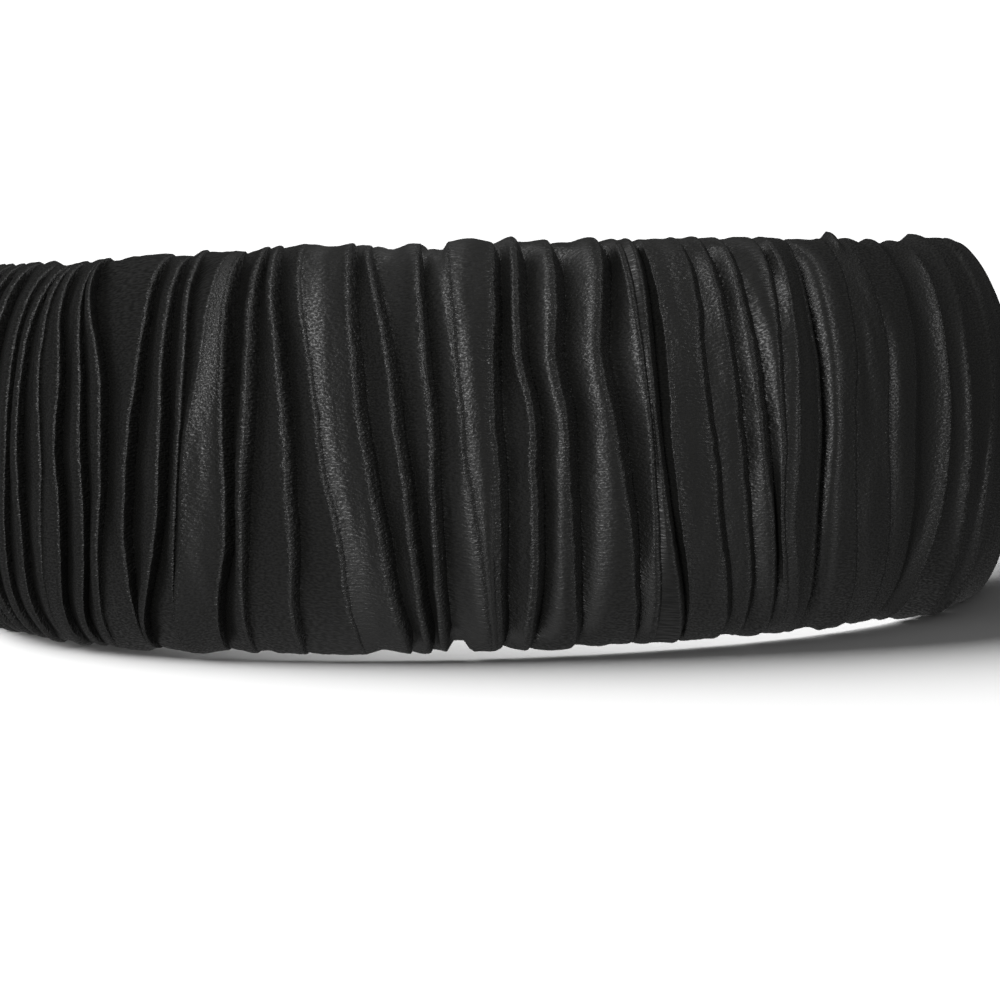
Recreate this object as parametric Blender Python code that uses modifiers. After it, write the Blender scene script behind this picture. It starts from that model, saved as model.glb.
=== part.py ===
"""Pleated headband: a padded open U covered in gathered black satin, laid on its lower edge.

Lengths are in metres. +Z is up, the front of the band faces -Y, and X runs from one
leg to the other. The origin is under the middle of the band, on the surface it rests on.
"""

import bisect
import math
from collections import namedtuple

import bmesh
import bpy
from mathutils import Matrix, Vector

MM = 0.001

# Plan of the inner face, seen from above: a round front and two flatter legs
FRONT_RADIUS = 64.8 * MM
FRONT_ANGLE = math.radians(72.0)
LEG_RADIUS = 160.0 * MM
LEG_LENGTH = 92.0 * MM

# Section over the pleats, at the middle of the front and at the tips
FRONT_WIDTH = 56.0 * MM
FRONT_THICKNESS = 13.8 * MM
TIP_WIDTH = 20.0 * MM
TIP_THICKNESS = 4.8 * MM
TIP_ROUNDING = 5.0 * MM
EDGE_SEAT = 0.2          # the section is widest this share of its thickness from the head

# Pleats of the cover
PLEAT_DEPTH = 2.6 * MM
LEG_PLEAT_PITCH = 5.8 * MM
LEG_PLEAT_BOW = 3.0 * MM
EDGE_RELIEF = 0.42       # share of the depth that is left where the pleats turn over an edge
TIP_RELIEF = 0.45        # share of the depth that is left at the tips

# Plain strip on the head side, which covers the ends of the pleats
STRIP_WIDTH = 32.0 * MM
STRIP_TIP_WIDTH = 11.0 * MM
STRIP_THICKNESS = 1.4 * MM
STRIP_END_MARGIN = 7.0 * MM
STRIP_END_CUT = 0.1      # share of the tip's rounding that is cut off square
STRIP_STEPS = 72
CLEARANCE = 0.3 * MM

# How the band lies: the front is a little higher, and the soft lower edge is pressed flat
REST_TILT = math.radians(3.2)
REST_CRUSH = 1.1 * MM

# Width and thickness along the band: shares of the change from the tip's size to the front's
Station = namedtuple("Station", "along width thickness")
STATIONS = (
    Station(0.00, 1.000, 1.00),
    Station(0.16, 0.985, 1.00),
    Station(0.31, 0.947, 1.00),
    Station(0.46, 0.880, 0.93),
    Station(0.62, 0.850, 0.78),
    Station(0.72, 0.680, 0.62),
    Station(0.83, 0.400, 0.38),
    Station(0.92, 0.170, 0.15),
    Station(1.00, 0.000, 0.00),
)

# The folds of the front, from the wearer's right to left as the photograph shows them.
# top, middle and bottom say where the crest runs, as shares of the half length.
# The deep columns say how deep the valley after the crest is, as shares of the pleat depth.
# The valley's floor lies between floor_from and floor_to, as shares of the way to the next crest.
Fold = namedtuple("Fold", "top middle bottom deep_top deep_middle deep_bottom floor_from floor_to")
FRONT_FOLDS = (
    Fold(-0.409, -0.372, -0.423, 0.80, 0.90, 0.80, 0.15, 0.45),
    Fold(-0.382, -0.357, -0.400, 0.80, 1.00, 0.70, 0.15, 0.55),
    Fold(-0.359, -0.329, -0.370, 0.50, 0.40, 0.20, 0.15, 0.35),
    Fold(-0.331, -0.315, -0.342, 0.80, 1.00, 0.80, 0.12, 0.50),
    Fold(-0.311, -0.286, -0.319, 0.70, 1.00, 0.60, 0.15, 0.60),
    Fold(-0.298, -0.269, -0.299, 1.00, 1.00, 0.50, 0.10, 0.40),
    Fold(-0.243, -0.245, -0.266, 0.80, 1.00, 0.80, 0.10, 0.50),
    Fold(-0.225, -0.218, -0.256, 0.80, 1.00, 0.90, 0.12, 0.55),
    Fold(-0.208, -0.203, -0.232, 0.60, 0.25, 0.60, 0.12, 0.45),
    Fold(-0.177, -0.170, -0.196, 0.90, 1.00, 0.90, 0.12, 0.70),
    Fold(-0.157, -0.153, -0.171, 0.80, 0.80, 0.50, 0.10, 0.30),
    Fold(-0.143, -0.125, -0.131, 0.80, 1.00, 0.70, 0.10, 0.50),
    Fold(-0.120, -0.102, -0.092, 0.35, 0.30, 0.20, 0.06, 0.16),
    Fold(-0.087, -0.072, -0.058, 0.90, 0.90, 0.90, 0.10, 0.40),
    Fold(-0.072, -0.051, -0.041, 0.80, 0.90, 0.80, 0.12, 0.45),
    Fold(-0.036, -0.030, -0.028, 1.30, 1.00, 1.30, 0.12, 0.55),
    Fold(-0.015, -0.009, 0.002, 0.30, 0.35, 0.20, 0.06, 0.14),
    Fold(0.014, 0.010, 0.013, 0.90, 0.70, 0.80, 0.20, 0.60),
    Fold(0.033, 0.036, 0.033, 0.90, 1.00, 0.80, 0.12, 0.45),
    Fold(0.057, 0.060, 0.067, 0.90, 1.00, 0.90, 0.10, 0.35),
    Fold(0.089, 0.091, 0.108, 1.00, 1.00, 1.00, 0.10, 0.45),
    Fold(0.101, 0.111, 0.121, 0.40, 0.30, 0.40, 0.10, 0.35),
    Fold(0.114, 0.120, 0.143, 0.80, 1.00, 0.80, 0.10, 0.35),
    Fold(0.155, 0.156, 0.175, 0.90, 0.70, 0.80, 0.15, 0.40),
    Fold(0.172, 0.176, 0.195, 0.70, 0.80, 0.60, 0.12, 0.40),
    Fold(0.190, 0.195, 0.213, 0.70, 1.00, 0.60, 0.12, 0.60),
    Fold(0.215, 0.211, 0.224, 0.60, 0.60, 0.30, 0.15, 0.55),
    Fold(0.229, 0.225, 0.237, 0.90, 0.90, 0.90, 0.55, 0.90),
    Fold(0.266, 0.249, 0.262, 0.30, 0.15, 0.10, 0.30, 0.60),
    Fold(0.290, 0.272, 0.285, 0.30, 0.15, 0.10, 0.30, 0.60),
    Fold(0.318, 0.301, 0.312, 0.15, 0.20, 0.15, 0.35, 0.60),
    Fold(0.350, 0.338, 0.343, 0.40, 0.90, 0.50, 0.60, 0.90),
    Fold(0.379, 0.371, 0.373, 0.50, 0.80, 0.80, 0.15, 0.50),
    Fold(0.424, 0.396, 0.413, 0.70, 0.80, 0.70, 0.50, 0.85),
    Fold(0.476, 0.449, 0.462, 0.80, 0.90, 0.80, 0.50, 0.85),
)
READ_HEIGHT = 0.9        # top and bottom were read at this share of the half width

# The surface between two crests: how far the floor rises along it, and the pleat's shoulder
# beside it, as shares of the valley's depth and of the way from the floor to the crest
FLOOR_RISE = 0.12
SHOULDER_DROP = 0.15
SHOULDER_PLACE = 0.4

# The plainer folds of the legs, which the photograph hides
LEG_DEEP = 0.85
LEG_BOW_SHARES = (1.0, 0.7, 0.9)
LEG_SETTLING_FOLDS = 6

# Turns round the section, in degrees: 0 is the upper edge, 90 the outside, 270 the head side
SECTION_TURNS = (0, 14, 32, 51, 70, 90, 110, 129, 148, 166, 180, 194, 232, 270, 308, 346)

COVER_COLOUR = (0.012, 0.012, 0.012, 1.0)
COVER_ROUGHNESS = 0.42
STRIP_COLOUR = (0.010, 0.010, 0.011, 1.0)
STRIP_ROUGHNESS = 0.75

FRONT_LENGTH = FRONT_RADIUS * FRONT_ANGLE
HALF_LENGTH = FRONT_LENGTH + LEG_LENGTH


def clear_scene():
    for item in list(bpy.data.objects):
        bpy.data.objects.remove(item, do_unlink=True)


def cloth_material(name, colour, roughness):
    """Returns a cloth finish of one colour."""
    material = bpy.data.materials.new(name)
    material.use_nodes = True
    shader = material.node_tree.nodes["Principled BSDF"]
    shader.inputs["Base Color"].default_value = colour
    shader.inputs["Roughness"].default_value = roughness
    shader.inputs["Metallic"].default_value = 0.0
    material.diffuse_color = colour
    return material


def plan_point(along):
    """Returns the inner face's point and outward direction at a distance from the front."""
    distance = abs(along)
    side = 1.0 if along >= 0.0 else -1.0
    if distance <= FRONT_LENGTH:
        angle = distance / FRONT_RADIUS
        x = FRONT_RADIUS * math.sin(angle)
        y = FRONT_RADIUS * (1.0 - math.cos(angle))
    else:
        angle = FRONT_ANGLE + (distance - FRONT_LENGTH) / LEG_RADIUS
        x = FRONT_RADIUS * math.sin(FRONT_ANGLE) + LEG_RADIUS * (math.sin(angle) - math.sin(FRONT_ANGLE))
        y = FRONT_RADIUS * (1.0 - math.cos(FRONT_ANGLE)) + LEG_RADIUS * (math.cos(FRONT_ANGLE) - math.cos(angle))
    point = Vector((side * x, y, 0.0))
    outward = Vector((side * math.sin(angle), -math.cos(angle), 0.0))
    return point, outward


def station_share(along, column):
    """Reads one column of the stations, smoothly between its rows."""
    share = min(abs(along) / HALF_LENGTH, 1.0)
    places = [station.along for station in STATIONS]
    upper = min(max(bisect.bisect_right(places, share), 1), len(STATIONS) - 1)
    first, second = STATIONS[upper - 1], STATIONS[upper]
    way = (share - first.along) / (second.along - first.along)
    return getattr(first, column) + (getattr(second, column) - getattr(first, column)) * way


def tip_factor(along, margin=0.0):
    """Shrinks the section to nothing in a round end, which stops a margin before the tip."""
    left = HALF_LENGTH - margin - abs(along)
    if left >= TIP_ROUNDING:
        return 1.0
    gone = 1.0 - max(left, 0.0) / TIP_ROUNDING
    return math.sqrt(max(1.0 - gone * gone, 0.0))


def band_size(along):
    """Returns the section's half width and thickness at a distance from the front."""
    width = TIP_WIDTH + (FRONT_WIDTH - TIP_WIDTH) * station_share(along, "width")
    thickness = TIP_THICKNESS + (FRONT_THICKNESS - TIP_THICKNESS) * station_share(along, "thickness")
    return width / 2.0, thickness


def lay_down(point):
    """Tilts a point with the band, about the line under the middle of its front."""
    return Matrix.Rotation(-REST_TILT, 3, "X") @ point


def section_point(turn):
    """Returns height and outward shares of the padded section, and its outward normal."""
    height = math.cos(turn)
    side = math.sin(turn)
    if side >= 0.0:
        outward = EDGE_SEAT + (1.0 - EDGE_SEAT) * side
    else:
        outward = EDGE_SEAT * (1.0 - math.sqrt(-side))
    return height, outward


def relief_at(turn):
    """Returns how much of the pleats' depth shows at a turn round the section."""
    side = math.sin(turn)
    if side >= 0.0:
        return EDGE_RELIEF + (1.0 - EDGE_RELIEF) * math.sqrt(side)
    return EDGE_RELIEF * max(0.0, 1.0 + 2.0 * side)


def bowed(top, middle, bottom, height):
    """Runs a smooth line through a fold's three readings."""
    level = height / READ_HEIGHT
    slope = (top - bottom) / 2.0
    bow = (top + bottom) / 2.0 - middle
    return middle + slope * level + bow * level * level


def across_face(top, middle, bottom, turn):
    """Follows a fold over the outside, and straight back along the head side."""
    height = math.cos(turn)
    if math.sin(turn) >= 0.0:
        return bowed(top, middle, bottom, height)
    upper = bowed(top, middle, bottom, 1.0)
    lower = bowed(top, middle, bottom, -1.0)
    return lower + (upper - lower) * (height + 1.0) / 2.0


def leg_folds(last, side):
    """Carries the pleats on from the last fold of the front to the tip of a leg."""
    pitch = LEG_PLEAT_PITCH / HALF_LENGTH
    bow = LEG_PLEAT_BOW / HALF_LENGTH
    room = 1.0 - TIP_ROUNDING / HALF_LENGTH - bow
    count = int((room - abs(last.middle)) / pitch)
    floor = (0.15, 0.50) if side < 0.0 else (0.50, 0.85)
    folds = []
    for number in range(1, count + 1):
        middle = side * (abs(last.middle) + number * pitch)
        usual = side * bow * LEG_BOW_SHARES[number % len(LEG_BOW_SHARES)]
        settled = min(number / LEG_SETTLING_FOLDS, 1.0)
        top = middle + (last.top - last.middle) * (1.0 - settled) + usual * settled
        bottom = middle + (last.bottom - last.middle) * (1.0 - settled) + usual * settled
        folds.append(Fold(top, middle, bottom, LEG_DEEP, LEG_DEEP, LEG_DEEP, *floor))
    return folds


def all_folds():
    left = leg_folds(FRONT_FOLDS[0], -1.0)
    right = leg_folds(FRONT_FOLDS[-1], 1.0)
    return left[::-1] + list(FRONT_FOLDS) + right


Column = namedtuple("Column", "top middle bottom drop_top drop_middle drop_bottom")


def column_between(fold, following, way, share):
    """Places a column part of the way to the next fold, sunk by a share of the valley's depth."""
    top = fold.top + (following.top - fold.top) * way
    middle = fold.middle + (following.middle - fold.middle) * way
    bottom = fold.bottom + (following.bottom - fold.bottom) * way
    return Column(top, middle, bottom, fold.deep_top * share, fold.deep_middle * share, fold.deep_bottom * share)


def pleat_columns():
    """Returns the columns of the cover: four for each fold, and the last crest."""
    folds = all_folds()
    columns = []
    for fold, following in zip(folds, folds[1:]):
        columns.append(column_between(fold, following, 0.0, 0.0))
        columns.append(column_between(fold, following, fold.floor_from, 1.0))
        columns.append(column_between(fold, following, fold.floor_to, 1.0 - FLOOR_RISE))
        if fold.floor_from < 1.0 - fold.floor_to:
            shoulder = fold.floor_to + (1.0 - fold.floor_to) * SHOULDER_PLACE
            columns.append(column_between(fold, following, shoulder, SHOULDER_DROP))
        else:
            shoulder = fold.floor_from * (1.0 - SHOULDER_PLACE)
            columns.insert(len(columns) - 2, column_between(fold, following, shoulder, SHOULDER_DROP))
    columns.append(column_between(folds[-1], folds[-1], 0.0, 0.0))
    return columns


def cover_point(column, turn):
    """Returns one point of the pleated cover, tilted but not yet lowered."""
    along = across_face(column.top, column.middle, column.bottom, turn) * HALF_LENGTH
    drop = across_face(column.drop_top, column.drop_middle, column.drop_bottom, turn)
    return surface_point(along, turn, max(drop, 0.0))


def surface_point(along, turn, drop):
    """Returns a point of the cover at a distance along it, below the crests by a share of the depth."""
    half_width, thickness = band_size(along)
    end = tip_factor(along)
    height, outward = section_point(turn)
    depth = PLEAT_DEPTH * drop * relief_at(turn)
    depth *= TIP_RELIEF + (1.0 - TIP_RELIEF) * station_share(along, "thickness")
    normal_height = math.cos(turn) * thickness
    normal_outward = math.sin(turn) * half_width
    length = math.hypot(normal_height, normal_outward)
    height_now = half_width * end * height - depth * normal_height / length
    outward_now = EDGE_SEAT * thickness + (outward - EDGE_SEAT) * thickness * end
    outward_now -= depth * normal_outward / length
    start, direction = plan_point(along)
    return lay_down(start + direction * outward_now + Vector((0.0, 0.0, height_now)))


def tip_columns(side):
    """Returns the smooth rings that round off a tip, from the last fold outwards."""
    shares = [1.0 - TIP_ROUNDING / HALF_LENGTH * part for part in (0.95, 0.5, 0.2, 0.05)]
    return [Column(side * share, side * share, side * share, 0.0, 0.0, 0.0) for share in shares]


def join_rings(mesh, rings):
    """Lofts one closed skin through rings of points and closes both ends."""
    loops = [[mesh.verts.new(point) for point in ring] for ring in rings]
    size = len(loops[0])
    for first, second in zip(loops, loops[1:]):
        for number in range(size):
            following = (number + 1) % size
            mesh.faces.new((first[number], first[following], second[following], second[number]))
    mesh.faces.new(loops[0][::-1])
    mesh.faces.new(loops[-1])
    bmesh.ops.recalc_face_normals(mesh, faces=mesh.faces)


def make_cover(collection):
    """Makes the gathered satin and the padding it is sewn round, as one soft solid."""
    turns = [math.radians(turn) for turn in SECTION_TURNS]
    columns = tip_columns(-1.0)[::-1] + pleat_columns() + tip_columns(1.0)
    rings = [[cover_point(column, turn) for turn in turns] for column in columns]
    lowest = min(point.z for ring in rings for point in ring)
    floor = lowest + REST_CRUSH
    rings = [[Vector((point.x, point.y, max(point.z - floor, 0.0))) for point in ring] for ring in rings]
    data = bpy.data.meshes.new("pleated_cover")
    mesh = bmesh.new()
    join_rings(mesh, rings)
    mesh.to_mesh(data)
    mesh.free()
    cover = bpy.data.objects.new("pleated_cover", data)
    collection.objects.link(cover)
    data.materials.append(cloth_material("black_satin", COVER_COLOUR, COVER_ROUGHNESS))
    return cover, floor


def strip_point(along, level):
    """Returns a point in the middle of the strip's thickness, tilted but not yet lowered."""
    width = STRIP_TIP_WIDTH + (STRIP_WIDTH - STRIP_TIP_WIDTH) * station_share(along, "width")
    start, direction = plan_point(along)
    height = width / 2.0 * level * tip_factor(along, STRIP_END_MARGIN)
    away = CLEARANCE + STRIP_THICKNESS / 2.0
    return lay_down(start - direction * away + Vector((0.0, 0.0, height)))


def make_strip(collection, floor):
    """Makes the plain strip on the head side: a sheet given its thickness by Solidify."""
    reach = HALF_LENGTH - STRIP_END_MARGIN - TIP_ROUNDING * STRIP_END_CUT
    data = bpy.data.meshes.new("inner_band")
    mesh = bmesh.new()
    bmesh.ops.create_grid(mesh, x_segments=STRIP_STEPS, y_segments=2, size=1.0)
    for vertex in mesh.verts:
        along = reach * math.sin(vertex.co.x * math.pi / 2.0)
        vertex.co = strip_point(along, vertex.co.y) - Vector((0.0, 0.0, floor))
    mesh.to_mesh(data)
    mesh.free()
    strip = bpy.data.objects.new("inner_band", data)
    collection.objects.link(strip)
    wall = strip.modifiers.new("wall", "SOLIDIFY")
    wall.thickness = STRIP_THICKNESS
    wall.offset = 0.0
    wall.use_even_offset = True
    data.materials.append(cloth_material("black_ribbon", STRIP_COLOUR, STRIP_ROUGHNESS))
    return strip


def centre_on_origin(cover, pieces):
    """Moves every piece so that the cover's box stands centred on the origin."""
    corners = [vertex.co for vertex in cover.data.vertices]
    middle_x = (min(c.x for c in corners) + max(c.x for c in corners)) / 2.0
    middle_y = (min(c.y for c in corners) + max(c.y for c in corners)) / 2.0
    for piece in pieces:
        piece.data.transform(Matrix.Translation((-middle_x, -middle_y, 0.0)))


def main():
    clear_scene()
    collection = bpy.data.collections.new("pleated_headband")
    bpy.context.scene.collection.children.link(collection)
    cover, floor = make_cover(collection)
    strip = make_strip(collection, floor)
    centre_on_origin(cover, [cover, strip])


main()
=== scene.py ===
# %% [markdown]
# # A pleated satin headband
#
# The object is a padded headband: a stiff open U, wrapped in foam and covered in black satin
# that is gathered into dozens of narrow knife pleats. It lies on its lower edge on a white table.
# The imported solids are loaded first, as a fixed frame. Each visible piece is then made at its
# real size in the same frame, and replaces the plain solid that stands in its place.

import math
from collections import namedtuple

import bpy
import numpy as np
from mathutils import Matrix, Vector


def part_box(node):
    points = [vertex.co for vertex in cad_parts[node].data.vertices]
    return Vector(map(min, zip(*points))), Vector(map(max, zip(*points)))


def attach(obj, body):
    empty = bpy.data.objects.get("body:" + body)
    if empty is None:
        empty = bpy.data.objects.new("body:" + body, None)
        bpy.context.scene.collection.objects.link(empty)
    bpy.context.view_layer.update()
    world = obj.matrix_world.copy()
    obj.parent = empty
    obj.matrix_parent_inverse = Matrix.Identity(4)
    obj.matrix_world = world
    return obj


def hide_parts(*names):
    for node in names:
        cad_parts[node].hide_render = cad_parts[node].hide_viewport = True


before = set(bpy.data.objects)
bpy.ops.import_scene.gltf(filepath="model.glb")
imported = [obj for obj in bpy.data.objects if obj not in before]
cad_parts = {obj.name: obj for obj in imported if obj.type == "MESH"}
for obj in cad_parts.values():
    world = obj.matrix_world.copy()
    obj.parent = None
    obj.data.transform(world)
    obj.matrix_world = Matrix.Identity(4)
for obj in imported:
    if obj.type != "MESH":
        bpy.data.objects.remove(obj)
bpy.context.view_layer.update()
bpy.ops.object.select_all(action="DESELECT")
MM = 0.001

# %% [markdown]
# ## The band's plan and section
#
# Seen from above, the head side of the band is a round front and two flatter legs. The section
# is a padded dome that is widest near the head. Both could be curve objects, but the pleats need
# the place and the outward direction of any point, so they are written as short functions.

# %% Sizes of the band
FRONT_RADIUS = 64.8 * MM
FRONT_ANGLE = math.radians(72.0)
LEG_RADIUS = 160.0 * MM
LEG_LENGTH = 92.0 * MM
FRONT_WIDTH = 56.0 * MM
FRONT_THICKNESS = 13.8 * MM
TIP_WIDTH = 20.0 * MM
TIP_THICKNESS = 4.8 * MM
TIP_ROUNDING = 5.0 * MM
EDGE_SEAT = 0.2
REST_TILT = math.radians(3.2)
REST_CRUSH = 1.1 * MM
FRONT_LENGTH = FRONT_RADIUS * FRONT_ANGLE
HALF_LENGTH = FRONT_LENGTH + LEG_LENGTH

Station = namedtuple("Station", "along width thickness")
STATIONS = (
    Station(0.00, 1.000, 1.00),
    Station(0.16, 0.985, 1.00),
    Station(0.31, 0.947, 1.00),
    Station(0.46, 0.880, 0.93),
    Station(0.62, 0.850, 0.78),
    Station(0.72, 0.680, 0.62),
    Station(0.83, 0.400, 0.38),
    Station(0.92, 0.170, 0.15),
    Station(1.00, 0.000, 0.00),
)


def plan_point(along):
    """Gives x, y and the outward direction of points at a signed distance from the front."""
    distance, side = np.abs(along), np.sign(along)
    on_front = distance <= FRONT_LENGTH
    leg_angle = FRONT_ANGLE + (distance - FRONT_LENGTH) / LEG_RADIUS
    angle = np.where(on_front, distance / FRONT_RADIUS, leg_angle)
    end_sine, end_cosine = math.sin(FRONT_ANGLE), math.cos(FRONT_ANGLE)
    leg_x = FRONT_RADIUS * end_sine + LEG_RADIUS * (np.sin(angle) - end_sine)
    leg_y = FRONT_RADIUS * (1.0 - end_cosine) + LEG_RADIUS * (end_cosine - np.cos(angle))
    x = side * np.where(on_front, FRONT_RADIUS * np.sin(angle), leg_x)
    y = np.where(on_front, FRONT_RADIUS * (1.0 - np.cos(angle)), leg_y)
    return x, y, side * np.sin(angle), -np.cos(angle)


def station_share(along, column):
    """Reads one column of the stations at a distance from the front."""
    places = [station.along for station in STATIONS]
    return np.interp(np.abs(along) / HALF_LENGTH, places, [getattr(s, column) for s in STATIONS])


def band_size(along):
    """Gives half the band's width, and its thickness over the pleats."""
    half_width = (TIP_WIDTH + (FRONT_WIDTH - TIP_WIDTH) * station_share(along, "width")) / 2.0
    thickness = TIP_THICKNESS + (FRONT_THICKNESS - TIP_THICKNESS) * station_share(along, "thickness")
    return half_width, thickness


def tip_factor(along, margin=0.0):
    """Shrinks the section to nothing in a round end."""
    left = np.clip((HALF_LENGTH - margin - np.abs(along)) / TIP_ROUNDING, 0.0, 1.0)
    return np.sqrt(1.0 - (1.0 - left) ** 2)


def lay_down(x, y, z):
    """Tilts the points with the band, so that its front is a little higher."""
    c, s = math.cos(REST_TILT), math.sin(REST_TILT)
    return x, y * c + z * s, z * c - y * s


print("half length of the band, mm:", round(HALF_LENGTH / MM, 1))

# %% [markdown]
# ## The folds
#
# Each knife pleat is a strip of satin that rises slowly to a folded edge, the crest, and then
# drops behind it, where the next strip comes out from under the fold. One row describes one
# pleat. The first five columns say where its crest runs down the face, as shares of the half
# length, at even steps from READ_HEIGHT above the middle line to as far below it, in halves of
# the width. Then come the depth of the valley behind it at the top, middle and bottom, and how the
# next strip swells there: 1 is a flat slope, 2 or more a roll that is steep first and flat later,
# and less than 1 a strip that lies low and rises late. Sag is a hollow along the strip's middle,
# or a bulge where it is negative. Low says how far the crest lies below the others, or above them
# where it is negative. Depths, sag and low are shares of the usual depth of a pleat. The photo
# ends at the first and last rows, and from there on the pleats settle to an even pitch.

# %% Table of the folds of the front
FOLD_COLUMNS = ("top upper middle lower bottom deep_top deep_middle deep_bottom "
                "swell_top swell_middle swell_bottom sag low")
Fold = namedtuple("Fold", FOLD_COLUMNS)
FRONT_FOLDS = (
    Fold(-0.379, -0.375, -0.375, -0.389, -0.415, 0.43, 0.6, 0.6, 1.0, 1.3, 1.0, 0, 0),
    Fold(-0.359, -0.359, -0.360, -0.366, -0.388, 0.43, 0.77, 0.69, 1.0, 1.4, 1.0, 0, 0),
    Fold(-0.348, -0.338, -0.331, -0.344, -0.366, 0.26, 0.26, 0.09, 1.0, 1.0, 1.0, 0, 0.1),
    Fold(-0.334, -0.314, -0.315, -0.318, -0.343, 0.52, 0.86, 0.77, 1.0, 1.4, 1.0, 0, 0),
    Fold(-0.310, -0.292, -0.288, -0.293, -0.321, 0.34, 0.77, 0.69, 1.0, 1.5, 1.2, 0, 0),
    Fold(-0.304, -0.274, -0.270, -0.279, -0.301, 0.86, 0.77, 0.26, 1.5, 1.3, 1.0, 0, 0),
    Fold(-0.242, -0.238, -0.246, -0.255, -0.266, 0.6, 0.95, 0.77, 1.0, 1.4, 1.2, 0, 0),
    Fold(-0.223, -0.218, -0.220, -0.229, -0.261, 0.52, 0.95, 0.77, 1.0, 1.3, 1.2, 0, 0),
    Fold(-0.207, -0.202, -0.205, -0.214, -0.231, 0.5, 0.2, 0.2, 1.0, 1.0, 1.0, 0, 0.1),
    Fold(-0.184, -0.187, -0.197, -0.206, -0.227, 0.1, 0.03, 0.0, 1.0, 1.5, 1.3, 0, -0.25),
    Fold(-0.176, -0.172, -0.171, -0.176, -0.196, 0.8, 0.9, 0.8, 1.0, 1.3, 1.2, 0, 0.17),
    Fold(-0.155, -0.152, -0.155, -0.162, -0.172, 0.6, 0.75, 0.4, 1.0, 1.2, 1.0, 0, 0),
    Fold(-0.143, -0.131, -0.125, -0.127, -0.133, 0.7, 0.75, 0.6, 1.2, 1.3, 1.0, 0, 0),
    Fold(-0.122, -0.109, -0.102, -0.092, -0.089, 0.1, 0.15, 0.15, 1.0, 1.0, 1.0, 0.12, -0.1),
    Fold(-0.087, -0.079, -0.072, -0.065, -0.056, 0.7, 0.75, 0.8, 1.0, 1.0, 1.0, 0, -0.12),
    Fold(-0.072, -0.056, -0.050, -0.045, -0.041, 0.6, 0.75, 0.8, 1.0, 1.1, 1.0, 0, 0),
    Fold(-0.038, -0.032, -0.028, -0.029, -0.028, 0.5, 0.65, 0.7, 2.0, 1.4, 1.3, 0, 0),
    Fold(-0.016, -0.010, -0.008, 0.000, 0.005, 0.05, 0.05, 0.05, 1.0, 1.0, 1.0, -0.10, -0.08),
    Fold(0.014, 0.012, 0.012, 0.012, 0.013, 0.7, 0.9, 0.8, 1.0, 1.0, 1.0, 0, 0.1),
    Fold(0.031, 0.031, 0.037, 0.038, 0.034, 1.0, 0.8, 0.9, 1.6, 1.9, 2.4, 0, 0),
    Fold(0.057, 0.053, 0.059, 0.061, 0.066, 1.1, 1.1, 0.85, 2.0, 2.0, 3.0, 0, 0),
    Fold(0.091, 0.084, 0.090, 0.099, 0.109, 1.1, 1.15, 0.5, 1.2, 1.2, 1.2, 0, 0),
    Fold(0.110, 0.111, 0.115, 0.118, 0.125, 0.2, 0.15, 0.2, 1.0, 1.0, 1.0, 0, 0),
    Fold(0.119, 0.117, 0.119, 0.127, 0.143, 1.0, 1.2, 0.9, 1.0, 1.0, 1.0, 0, 0),
    Fold(0.131, 0.133, 0.131, 0.140, 0.152, 0.0, 0.0, 0.0, 1.0, 0.9, 1.0, 0, 0.32),
    Fold(0.155, 0.153, 0.156, 0.164, 0.178, 0.6, 0.6, 0.6, 1.0, 1.0, 1.0, 0, 0.05),
    Fold(0.174, 0.174, 0.177, 0.184, 0.196, 0.5, 0.55, 0.5, 1.3, 1.2, 1.0, 0, 0.2),
    Fold(0.191, 0.191, 0.195, 0.203, 0.216, 0.6, 0.65, 0.3, 1.6, 1.4, 1.0, 0, 0),
    Fold(0.219, 0.212, 0.211, 0.212, 0.227, 0.5, 0.1, 0.05, 1.0, 1.6, 1.0, 0, 0),
    Fold(0.233, 0.226, 0.222, 0.221, 0.238, 0.0, 0.0, 0.0, 1.0, 1.0, 1.0, 0, -0.05),
    Fold(0.250, 0.244, 0.243, 0.241, 0.250, 0.8, 0.8, 0.7, 6.0, 7.0, 6.0, 0, 0.35),
    Fold(0.292, 0.281, 0.275, 0.279, 0.295, 0.2, 0.05, 0.05, 1.0, 1.0, 1.0, 0, 0.4),
    Fold(0.318, 0.314, 0.306, 0.311, 0.322, 0.05, 0.38, 0.05, 1.0, 5.0, 1.0, 0, 0.35),
    Fold(0.358, 0.346, 0.336, 0.339, 0.341, 0.2, 0.25, 0.2, 0.8, 0.45, 0.7, 0.30, 0.35),
    Fold(0.398, 0.384, 0.379, 0.371, 0.362, 0.2, 0.15, 0.4, 1.0, 0.7, 0.9, 0.15, 0),
    Fold(0.430, 0.411, 0.402, 0.400, 0.404, 0.8, 0.6, 0.8, 0.45, 0.6, 0.45, 0, -0.4),
    Fold(0.485, 0.462, 0.441, 0.430, 0.434, 0.6, 0.6, 0.7, 0.6, 0.6, 0.6, 0, -0.55),
    Fold(0.545, 0.498, 0.468, 0.462, 0.464, 0.5, 0.8, 1.1, 1.3, 1.3, 1.3, 0, 0),
)
READ_HEIGHT = 0.9
LEG_PLEAT_PITCH = 5.8 * MM
LEG_PLEAT_BOW = 3.0 * MM
LEG_BOW_SHARES = (1.0, 0.7, 0.9)
LEG_SETTLING_FOLDS = 6
LEG_DEEP = (0.8, 0.9, 0.8)
LEG_SWELL = (1.2, 1.4, 1.2)


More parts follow.
